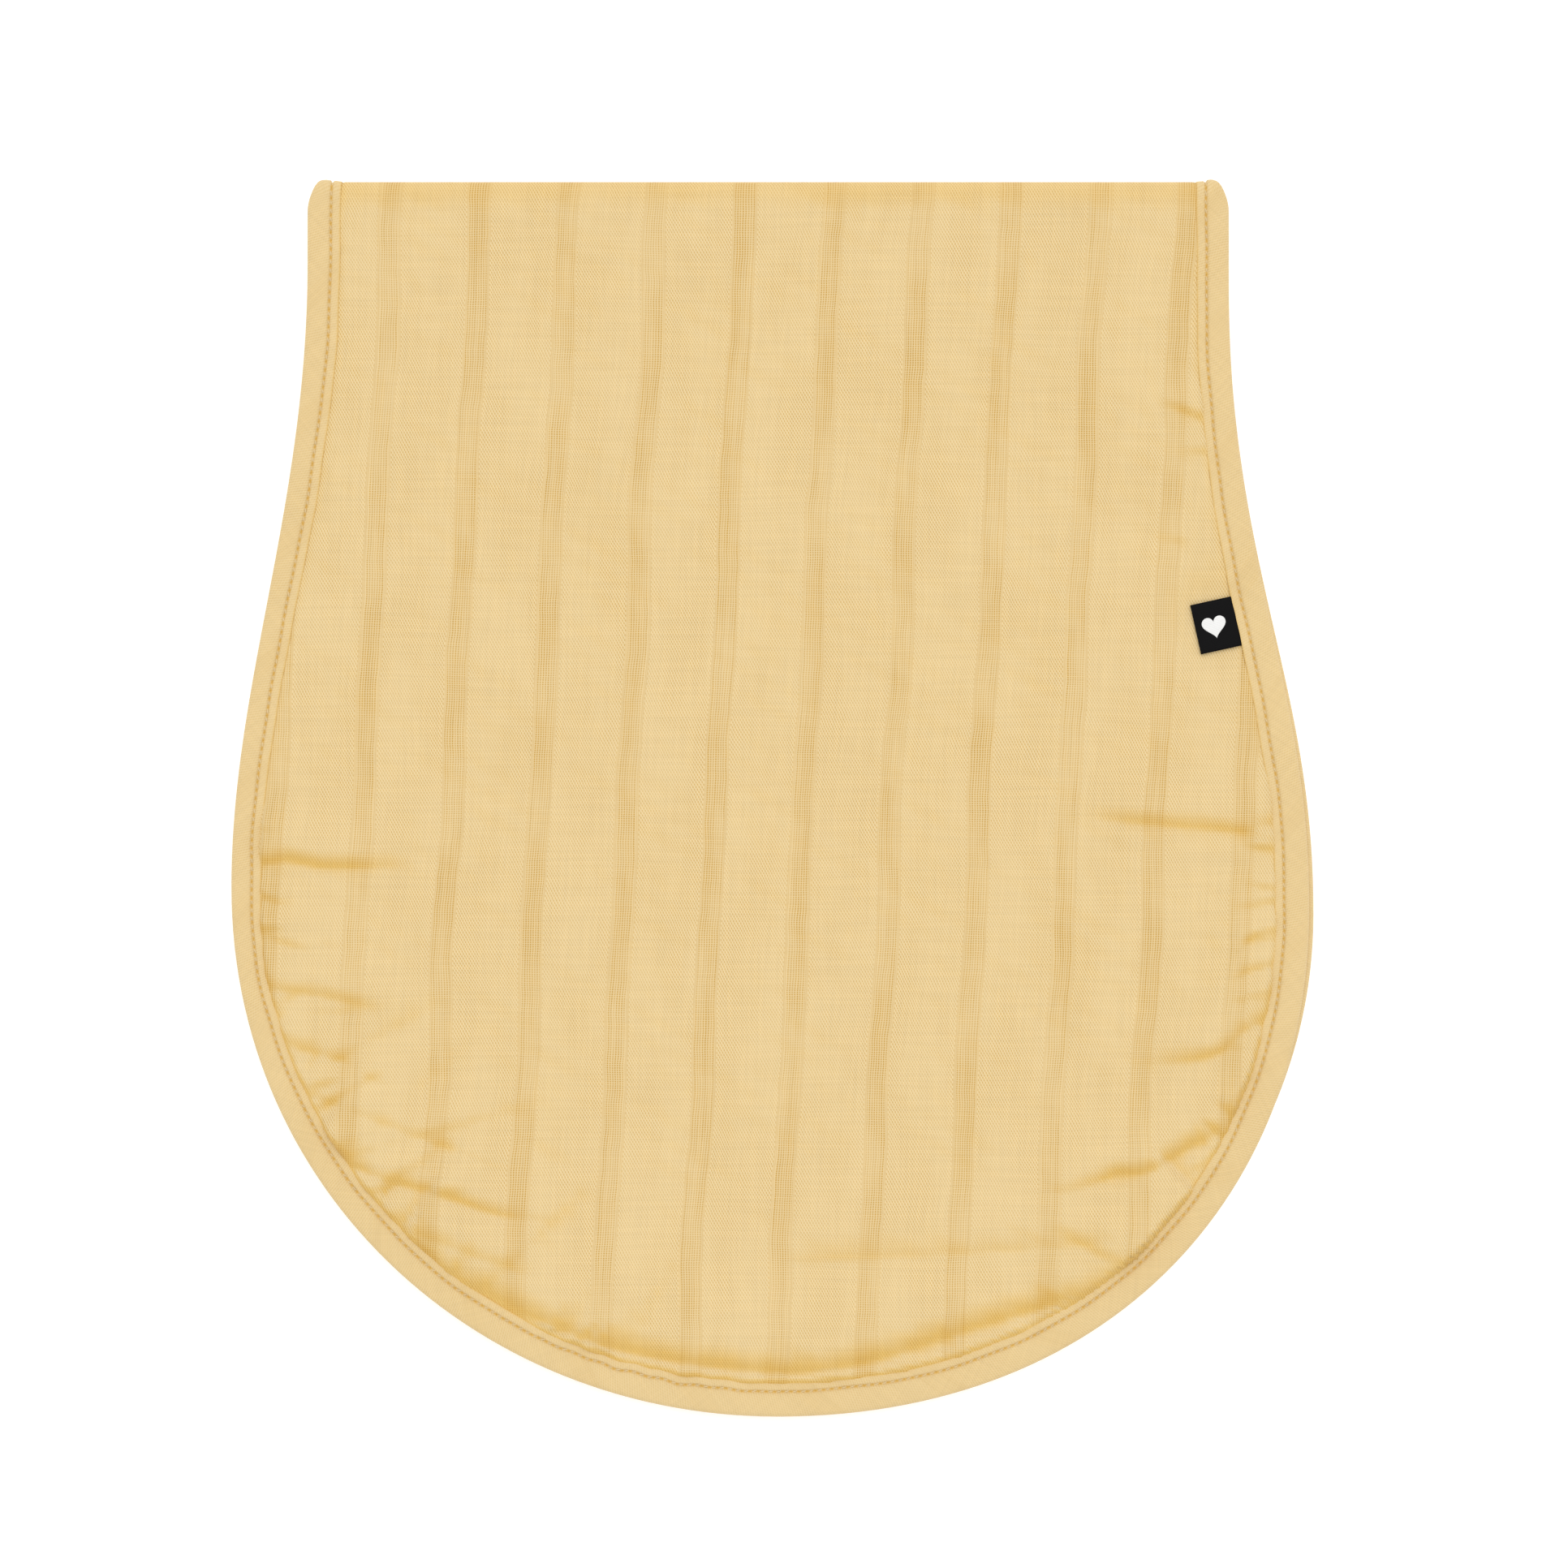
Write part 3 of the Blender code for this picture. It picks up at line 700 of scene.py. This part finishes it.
def make_binding(side, material):
    """The binding of one half, to the middle of the fold: a tape folded over the edge of the plies."""
    line, inward, way, width, stitches = seam_line()
    inset, height = binding_face(way, width, stitches, 31)
    inset_back, height_back = binding_face(way, width * BACK_WIDTH, stitches, 32)
    if side == "lower":
        height = np.minimum(height, HALF / 2)
    height_back = np.minimum(height_back, HALF / 2)
    slot = np.stack((inset[:, -1] - 0.0004, 0.5 * inset[:, -1], SLOT_TAPER + 0 * way), axis=1)
    level = np.full_like(slot, SLOT)
    end = np.full((len(way), 1), SLOT_END)
    across = np.concatenate((inset, slot, end, slot[:, ::-1], inset_back[:, :0:-1]), axis=1)
    up = np.concatenate((height, level, 0 * end, -level, -height_back[:, :0:-1]), axis=1)
    stations, around = across.shape
    place = line[:, None, :] + inward[:, None, :] * across[:, :, None]
    flat = np.concatenate((place, up[:, :, None]), axis=2).reshape(-1, 3)
    quads = ring_quads(stations, around)
    threads = np.stack((np.broadcast_to(way[:, None], across.shape), np.where(up >= 0, across, -across)), 2)
    caps = [list(range(around))[::-1], list(range((stations - 1) * around, stations * around))]
    name = f"{side}_binding_tape"
    places = fold_over(flat, side)
    thing = add_mesh(name, places, quads, threads.reshape(-1, 2), material, side == "upper", caps)
    off_stitch = across - (width - STITCH_FROM_LIP)[:, None]
    turn = np.broadcast_to((2.0 * math.pi * stitches * way / way[-1])[:, None], across.shape)
    # Painted shade: the stitch pits are painted darker, up to the hole shade colour, and a thin line along
    # the lip's inner edge more golden.
    hole = np.exp(-((off_stitch / 0.00024) ** 2)) * np.clip(0.60 + 0.95 * np.cos(turn), 0.0, 1.0)
    lip_shade = np.exp(-(((across - inset[:, -1:]) / 0.0003) ** 2))
    add_attribute(thing, "fold_shade", np.clip(0.8 * lip_shade + 2.0 * hole, 0.0, 2.0).ravel())
    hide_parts(f"{side}_binding", "fold_binding_left", "fold_binding_right")
    bend_with(thing, side)
    return thing


def stitch_shape():
    """One stitch as rings along its length: points (along, across, up) in parts of 1, and faces."""
    rings, sides = 6, 8
    places = [(-1.0, 0.0, 0.0)]
    for i in range(1, rings + 1):
        turn = math.pi * i / (rings + 1)
        for k in range(sides):
            angle = 2.0 * math.pi * k / sides
            thick = math.sin(turn) ** 0.5
            places.append((-math.cos(turn), thick * math.cos(angle), thick * math.sin(angle)))
    places.append((1.0, 0.0, 0.0))
    faces = []
    for k in range(sides):
        after = (k + 1) % sides
        faces.append((0, 1 + after, 1 + k))
        for i in range(rings - 1):
            low, high = 1 + i * sides, 1 + (i + 1) * sides
            faces.append((low + k, low + after, high + after, high + k))
        last = 1 + (rings - 1) * sides
        faces.append((last + k, last + after, len(places) - 1))
    return np.array(places), faces


def make_stitches(side, kind, material):
    """The row of stitches on one face of one half: needle thread on the face, bobbin thread on the back."""
    line, inward, way, width, count = seam_line()
    out = 1.0 if kind == "needle" else -1.0
    middles = (np.arange(count) + 0.5) * way[-1] / count
    shape, faces = stitch_shape()
    along = middles[:, None] + shape[:, 0] * STITCH_LENGTH / 2
    random = np.random.default_rng(41 if kind == "needle" else 42)
    slant = STITCH_SLANT * random.uniform(0.6, 1.4, (count, 1))
    from_edge = np.interp(along, way, width) - STITCH_FROM_LIP
    from_edge = from_edge + THREAD_RADIUS * shape[:, 1] + slant * shape[:, 0]
    arch = STITCH_ARCH * np.cos(math.pi / 2 * shape[:, 0])
    up = (TOP + LIP_TOP) / 2 - VALLEY_DEPTH - STITCH_SINK + arch + THREAD_RADIUS * shape[:, 2]
    flat = []
    for axis in (0, 1):
        heading = np.interp(along, way, inward[:, axis])
        flat.append(np.interp(along, way, line[:, axis]) + from_edge * heading)
    flat = np.stack((*flat, np.broadcast_to(out * up, along.shape)), axis=2).reshape(-1, 3)
    row = [[corner + i * len(shape) for corner in f] for i in range(count) for f in faces]
    off_middle = np.broadcast_to(THREAD_RADIUS * shape[:, 1], along.shape)
    threads = np.stack((along, off_middle), axis=2).reshape(-1, 2)
    name = f"{side}_{kind}_stitches"
    flip = (side == "lower") == (kind == "needle")
    thing = add_mesh(name, fold_over(flat, side), row, threads, material, flip)
    names = (f"{side}_{kind}_thread", f"fold_{kind}_thread_left", f"fold_{kind}_thread_right")
    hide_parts(*names)
    bend_with(thing, side)
    return thing


# ---- the labels


def label_frame(seam, p, q, h):
    """Row-frame points of a label: p in from its seam, q along it, h its height."""
    c, s = math.cos(LABEL_TURN), math.sin(LABEL_TURN)
    return np.stack((seam[0] - p * c - q * s, seam[1] - p * s + q * c, h), axis=-1)


def tape_strip(name, seam, path, span, material):
    """A thin tape: a path of (p, h) points swept along q, with its thickness."""
    path = np.array(path)
    along = np.gradient(path, axis=0)
    along /= np.linalg.norm(along, axis=1)[:, None]
    side = np.stack((-along[:, 1], along[:, 0]), axis=1) * TAPE / 2
    ring = np.concatenate((path + side, (path - side)[::-1]))
    rows = np.linspace(-span / 2, span / 2, 19)
    q = np.repeat(rows, len(ring))
    p, h = np.tile(ring, (len(rows), 1)).T
    edge = 1.0 - smooth_step((span / 2 - np.abs(q)) / 0.0006)
    places = label_frame(seam, p, q, h - 0.00004 * edge)
    around = len(ring)
    quads = ring_quads(len(rows), around)[:, [0, 3, 2, 1]]
    way = np.concatenate(([0.0], np.cumsum(np.hypot(*np.diff(path, axis=0).T))))
    threads = np.stack((np.tile(np.concatenate((way, way[::-1])), len(rows)), q), axis=1)
    caps = []
    for i in range(len(path) - 1):
        pair = [i, i + 1, around - 2 - i, around - 1 - i]
        caps.append(pair)
        caps.append([k + (len(rows) - 1) * around for k in pair][::-1])
    return add_mesh(name, places, quads, threads, material, False, caps)


def heart_outline(size, steps):
    """A plain heart of this width, as points (p, q) around its middle."""
    turns = np.linspace(0.0, 2.0 * math.pi, steps, endpoint=False)
    across = np.sin(turns) ** 3
    up = (13 * np.cos(turns) - 5 * np.cos(2 * turns) - 2 * np.cos(3 * turns) - np.cos(4 * turns)) / 16
    return -across * size / 2, up * size / 2


def make_side_label(black, white):
    """The black loop with a plain woven heart."""
    low, high = (2 * MIDDLE_Z - down for down in SIDE_DEPTHS)
    low_bow, high_bow = SIDE_BOWS
    depth = SIDE_LABEL[0]
    bend = (high - low) / 2
    middle = (high + low) / 2
    under = [(p, low + low_bow * (p / depth) ** 2) for p in np.linspace(-LABEL_TAB, depth - bend, 12)]
    turns = np.linspace(-math.pi / 2, math.pi / 2, 8)[1:-1]
    fold = [(depth - bend + bend * math.cos(a), middle + low_bow + bend * math.sin(a)) for a in turns]
    over = [(p, high + high_bow * (p / depth) ** 2) for p in np.linspace(depth - bend, -LABEL_TAB, 12)]
    over = [(p, h - SIDE_TUCK * smooth_step((0.0006 - p) / 0.002)) for p, h in over]
    loop = tape_strip("side_label_loop", SIDE_SEAM, [*under, *fold, *over], SIDE_LABEL[1], black)
    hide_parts("side_label")
    motif_p, motif_q = heart_outline(HEART, HEART_STEPS)
    rings = []
    threads = []
    for size, lift in HEART_RINGS:
        p, q = depth * 0.5 + motif_p * size, motif_q * size
        h = high + high_bow * (p / depth) ** 2 + TAPE / 2 + lift
        rings.append(label_frame(SIDE_SEAM, p, q, h))
        threads.append(np.stack((motif_p * size, motif_q * size), axis=1))
    quads = ring_quads(len(rings), HEART_STEPS)
    last = (len(rings) - 1) * HEART_STEPS
    ends = [list(range(HEART_STEPS))[::-1], list(range(last, last + HEART_STEPS))]
    places = np.concatenate(rings)
    motif = add_mesh("side_label_heart", places, quads, np.concatenate(threads), white, True, ends)
    for thing in (loop, motif):
        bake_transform(thing)
    return loop, motif


def make_care_label(material):
    """A blank satin strip on the back of the upper half, caught under the binding's inner edge."""
    level = MIDDLE_Z + BEND - CARE_DEPTH
    places = np.linspace(-LABEL_TAB, CARE_LABEL[0], 40)
    path = [(p, level + 0.00008 * math.sin(p / 0.0031)) for p in places]
    strip = tape_strip("care_label_strip", CARE_SEAM, path[::-1], CARE_LABEL[1], material)
    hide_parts("care_label")
    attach(strip, "upper_half")
    return strip


# ---- materials


class Graph:
    """A material and its node tree, with short calls for the nodes that the cloths share."""

    def __init__(self, name, roughness, sheen=0.0):
        self.material = bpy.data.materials.new(name)
        self.material.use_nodes = True
        self.tree = self.material.node_tree
        self.shader = self.tree.nodes["Principled BSDF"]
        self.shader.inputs["Roughness"].default_value = roughness
        self.shader.inputs["Specular IOR Level"].default_value = 0.25
        self.shader.inputs["Sheen Weight"].default_value = sheen
        self.shader.inputs["Sheen Roughness"].default_value = 0.5

    def put(self, socket, value):
        """Links a socket, or sets a number or colour."""
        if isinstance(value, bpy.types.NodeSocket):
            self.tree.links.new(value, socket)
        else:
            socket.default_value = value

    def math(self, operation, a, b=None, c=None):
        node = self.tree.nodes.new("ShaderNodeMath")
        node.operation = operation
        for socket, value in zip(node.inputs, (a, b, c)):
            if value is not None:
                self.put(socket, value)
        return node.outputs[0]

    def times(self, a, b, plus=None):
        """a times b, plus a third value if there is one."""
        return self.math("MULTIPLY" if plus is None else "MULTIPLY_ADD", a, b, plus)

    def ramp(self, value, low, high):
        """0 at low, 1 at high, soft at both. Low may be the larger."""
        node = self.tree.nodes.new("ShaderNodeMapRange")
        node.interpolation_type = "SMOOTHSTEP"
        for name, number in (("Value", value), ("From Min", low), ("From Max", high)):
            self.put(node.inputs[name], number)
        return node.outputs["Result"]

    def mix(self, share, a, b, blend="MIX"):
        node = self.tree.nodes.new("ShaderNodeMix")
        node.data_type = "RGBA"
        node.blend_type = blend
        self.put(node.inputs["Factor"], share)
        for socket, value in ((node.inputs[6], a), (node.inputs[7], b)):
            self.put(socket, value if isinstance(value, bpy.types.NodeSocket) else (*value, 1.0))
        return node.outputs[2]

    def threads(self):
        """The two coordinates of the thread map."""
        uv = self.tree.nodes.new("ShaderNodeUVMap")
        uv.uv_map = "cloth"
        split = self.tree.nodes.new("ShaderNodeSeparateXYZ")
        self.put(split.inputs[0], uv.outputs[0])
        return split.outputs[0], split.outputs[1]

    def noise(self, across, along, grains, detail=1.0):
        """Smooth noise from 0 to 1, with this many grains a metre across and along."""
        place = self.tree.nodes.new("ShaderNodeCombineXYZ")
        self.put(place.inputs[0], self.times(across, grains[0]))
        self.put(place.inputs[1], self.times(along, grains[1]))
        node = self.tree.nodes.new("ShaderNodeTexNoise")
        node.noise_dimensions = "2D"
        self.put(node.inputs["Vector"], place.outputs[0])
        self.put(node.inputs["Scale"], 1.0)
        self.put(node.inputs["Detail"], detail)
        return node.outputs["Fac"]

    def wave(self, place, pitch, shift=0.0):
        """1 on each thread and 0 between two."""
        turned = self.times(place, 2.0 * math.pi / pitch, shift)
        return self.times(self.math("COSINE", turned), 0.5, 0.5)

    def scaled(self, colour, factor):
        node = self.tree.nodes.new("ShaderNodeVectorMath")
        node.operation = "SCALE"
        self.put(node.inputs[0], colour)
        self.put(node.inputs["Scale"], factor)
        return node.outputs[0]

    def attribute(self, name):
        node = self.tree.nodes.new("ShaderNodeAttribute")
        node.attribute_name = name
        return node.outputs["Fac"]

    def finish(self, colour, height, depth, strength):
        """The material with this colour, and a bump from a height of 0 to 1 over this depth."""
        bump = self.tree.nodes.new("ShaderNodeBump")
        bump.inputs["Strength"].default_value = strength
        bump.inputs["Distance"].default_value = depth
        self.put(bump.inputs["Height"], height)
        self.put(self.shader.inputs["Normal"], bump.outputs[0])
        self.put(self.shader.inputs["Base Color"], colour)
        return self.material


def muslin(name, turned=0.0, layer_shift=0.0, closeness=1.0):
    """Striped muslin: crepe stripes with small staggered holes, and gauze stripes of a square open mesh edged
    by close threads. The holes are real. Their darker gold is painted shade of the ply behind, which shows
    through more in some places than in others. A lower closeness makes a fainter, more even weave."""
    graph = Graph(name, 0.92, 0.10)
    node, times, ramp, wave, noise = graph.math, graph.times, graph.ramp, graph.wave, graph.noise
    u, v = graph.threads()
    if turned:
        c, s = math.cos(turned), math.sin(turned)
        u, v = times(u, c, times(v, s)), times(v, c, times(u, -s))

    # Threads that wander a little, thicken and thin, and lie closer in some places.
    grain = noise(u, v, (90.0, 90.0), 2.0)
    u = times(grain, 0.0009, u)
    jitter = noise(u, v, (600.0, 600.0))
    v = times(jitter, 0.00020, v)
    slub = noise(u, v, (1300.0, 60.0))
    weft = noise(u, v, (45.0, 1300.0))
    cloud = noise(u, v, (95.0, 30.0), 3.0)
    show = ramp(cloud, 0.30, 0.70)

    # How far each place is from a gauze stripe's middle, in stripe pitches.
    off_stripe = node("PINGPONG", times(u, 1 / STRIPE_PITCH, 40.0), 0.5)
    half = 0.5 * STRIPE_WIDTH / STRIPE_PITCH
    edge = STRIPE_BORDER / STRIPE_PITCH
    gauze = times(ramp(off_stripe, half + 0.2 * edge, half - 0.2 * edge), closeness)
    edging = times(ramp(off_stripe, half + 1.1 * edge, half + 0.8 * edge), closeness ** 2)

    # The gauze's square mesh, its uneven columns, and the close threads along its edges.
    warp_thread = wave(u, GAUZE_PITCH[0])
    weft_thread = wave(v, GAUZE_PITCH[1])
    no_warp = node("SUBTRACT", 1.0, warp_thread)
    between = times(no_warp, times(weft_thread, -0.73, 1.0))
    behind = wave(times(v, 0.03, u), GAUZE_PITCH[0] * 1.045, layer_shift)
    behind = node("MAXIMUM", behind, wave(v, GAUZE_PITCH[1] * 0.965, layer_shift))
    columns = noise(u, v, (1100.0, 30.0))
    open_hole = times(ramp(between, 0.12, 0.70), times(behind, -0.35, 1.1))
    open_hole = times(open_hole, times(show, 0.26, 0.64))
    open_hole = times(open_hole, times(columns, 1.0, 0.50))
    open_hole = node("ADD", open_hole, times(show, 0.10, 0.10))
    close_lines = times(wave(u, GAUZE_PITCH[0] * 0.6), -0.42, 0.50)

    # The crepe's small holes, staggered in slanting rows.
    across = times(u, 2.0 * math.pi / CREPE_PITCH[0])
    along = times(v, 2.0 * math.pi / CREPE_PITCH[1])
    rising = node("COSINE", node("SUBTRACT", across, along))
    falling = node("COSINE", node("ADD", across, along))
    crepe = times(rising, 0.66, times(falling, 0.34))
    weight = times(show, 0.24, 0.52)
    small_hole = times(ramp(crepe, -0.35, 1.0), weight)

    # All of them as one share of the hole colour, which is painted shade. Then painted shade from the
    # fold_shade
    # attribute: darker and more golden on creases, in low places, by the seam and at the fold, darkest in the
    # stitch pits.
    hole = times(node("SUBTRACT", close_lines, small_hole), edging, small_hole)
    hole = times(node("SUBTRACT", open_hole, hole), gauze, hole)
    if closeness < 1.0:
        hole = times(hole, closeness, 0.27 * (1.0 - closeness))
    colour = graph.mix(hole, THREAD_COLOUR, HOLE_SHADE_COLOUR)
    tone = times(weft, 0.08, times(slub, 0.08, 0.92))
    colour = graph.scaled(colour, tone)
    painted_shade_share = graph.attribute("fold_shade")
    # Painted shade: darker, more golden colour where the fold_shade attribute is high.
    colour = graph.mix(painted_shade_share, colour, PAINTED_SHADE_TINT, "MULTIPLY")
    colour = graph.mix(ramp(painted_shade_share, 1.0, 2.0), colour, HOLE_SHADE_COLOUR)
    return graph.finish(colour, node("SUBTRACT", 1.0, hole), 0.00012, 0.5)


def sewing_thread(name):
    """Spun thread: two strands twisted, with painted shade in the grooves between them, a little uneven in
    colour.
    """
    graph = Graph(name, 0.75, 0.10)
    along, across = graph.threads()
    strand = graph.wave(graph.times(across, 1.4, along), 0.00042)
    uneven = graph.noise(along, across, (400.0, 2000.0))
    # Painted shade: darker in the grooves between the strands.
    colour = graph.mix(graph.times(strand, -0.30, 0.30), STITCH_COLOUR, HOLE_SHADE_COLOUR)
    colour = graph.scaled(colour, graph.times(uneven, 0.16, 0.92))
    return graph.finish(colour, strand, 0.00005, 0.7)


def woven_tape(name, colour, roughness, rib, sheen, gloss):
    """A close woven label: fine ribs across it, a finer warp and small unevenness."""
    graph = Graph(name, roughness, sheen)
    graph.shader.inputs["Specular IOR Level"].default_value = gloss
    u, v = graph.threads()
    ribs = graph.wave(v, rib)
    warp = graph.wave(u, rib * 0.7)
    uneven = graph.noise(u, v, (300.0, 2500.0), 2.0)
    tone = graph.times(ribs, 0.18, 0.84)
    tone = graph.times(uneven, 0.10, tone)
    weave = graph.times(warp, 0.4, ribs)
    return graph.finish(graph.scaled(colour, tone), weave, 0.00005, 0.6)


def plain_material(name, colour, roughness):
    """One even colour."""
    graph = Graph(name, roughness)
    graph.put(graph.shader.inputs["Base Color"], (*colour, 1.0))
    return graph.material


# ---- the camera, light and floor


def make_camera():
    """Straight above the cloth, through a long lens."""
    view = bpy.data.cameras.new("camera")
    view.lens = 100.0
    view.sensor_width = 36.0
    view.clip_start = 0.01
    camera = bpy.data.objects.new("camera", view)
    bpy.context.scene.collection.objects.link(camera)
    camera.location = (*AIM, 2 * MIDDLE_Z + FRAME_WIDTH * view.lens / view.sensor_width)
    bpy.context.scene.camera = camera


def make_stage():
    """A plain white floor, a soft key light from beyond the fold with a weaker fill, and a white surround."""
    bpy.ops.mesh.primitive_plane_add(size=6.0, location=(0.0, 0.0, -0.0001))
    floor = bpy.context.object
    floor.name = "floor"
    paper = plain_material("floor", PAPER_WHITE, 0.9)
    shader = paper.node_tree.nodes["Principled BSDF"]
    shader.inputs["Emission Color"].default_value = (1.0, 1.0, 1.0, 1.0)
    shader.inputs["Emission Strength"].default_value = FLOOR_GLOW
    floor.data.materials.append(paper)
    world = bpy.data.worlds.new("surround")
    bpy.context.scene.world = world
    world.use_nodes = True
    light = world.node_tree.nodes["Background"]
    light.inputs["Color"].default_value = (1.0, 1.0, 1.0, 1.0)
    light.inputs["Strength"].default_value = 1.0
    for name, turn, strength, spread in SUNS:
        sun = bpy.data.lights.new(name, "SUN")
        sun.energy = strength
        sun.angle = math.radians(spread)
        lamp = bpy.data.objects.new(name, sun)
        lamp.rotation_euler = [math.radians(a) for a in turn]
        bpy.context.scene.collection.objects.link(lamp)
    bpy.context.scene.view_settings.view_transform = "Standard"


# ---- the whole object


def make_cloth(field):
    """The three plies of both halves."""
    face = muslin("muslin_face")
    core = muslin("muslin_core", layer_shift=1.3)
    reverse = muslin("muslin_reverse")
    grid = ply_grid(field, FACE_STEPS)
    x, v, quads = grid
    inside = field.inside(x, v)
    rise = face_height(x, v, inside, field) * label_press(x, v, SIDE_PRESS)
    rise = meet_at_fold(v, rise, inside, "outer")
    # Painted shade on the face: darker and more golden on creases' steep sides, in low places, by the seam
    # and at the fold.
    painted_shade = fold_shade(v, quads, rise, inside)
    make_ply("outer", "upper", grid, rise, painted_shade, face)

    rough = ply_grid(field, HIDDEN_STEPS)
    x, v, quads = rough
    inside = field.inside(x, v)
    none = np.zeros(len(x))
    core_rise = CORE_SHARE * face_height(x, v, inside, field) * label_press(x, v, SIDE_PRESS)
    for side, rise in (("upper", core_rise), ("lower", none)):
        rise = meet_at_fold(v, rise, inside, "core")
        make_ply("core", side, rough, rise, none, core)
    for ply, side, seed, out, material, slot in (
        ("inner", "upper", 51, -1.0, reverse, "muslin_reverse"),
        ("inner", "lower", 52, -1.0, reverse, "muslin_reverse"),
        ("outer", "lower", 53, 1.0, face, "muslin_face"),
    ):
        height = hidden_height(x, v, inside, field, seed)
        if (ply, side) == ("inner", "upper"):
            height = height * label_press(x, v, CARE_PRESS)
        # The same painted shade on the hidden faces.
        painted_shade = fold_shade(v, quads, height, inside)
        lift = meet_at_fold(v, out * height, inside, ply)
        make_ply(ply, side, rough, lift, painted_shade, material)


def make_hem():
    """The binding and its two rows of stitches, on both halves."""
    tape = muslin("bias_binding", turned=math.radians(45), closeness=0.45)
    needle = sewing_thread("needle_thread")
    bobbin = sewing_thread("bobbin_thread")
    for side in ("lower", "upper"):
        make_binding(side, tape)
        make_stitches(side, "needle", needle)
        make_stitches(side, "bobbin", bobbin)


def make_labels():
    """The side label and the care label."""
    black = woven_tape("side_label", LABEL_BLACK, 0.60, 0.00034, 0.0, 0.04)
    white = woven_tape("side_label_motif", LABEL_WHITE, 0.60, 0.00030, 0.1, 0.25)
    for thing in make_side_label(black, white):
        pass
    satin = woven_tape("care_label", SATIN_WHITE, 0.35, 0.00025, 0.2, 0.5)
    make_care_label(satin)


make_camera()
make_stage()
make_cloth(EdgeField())
make_hem()
make_labels()
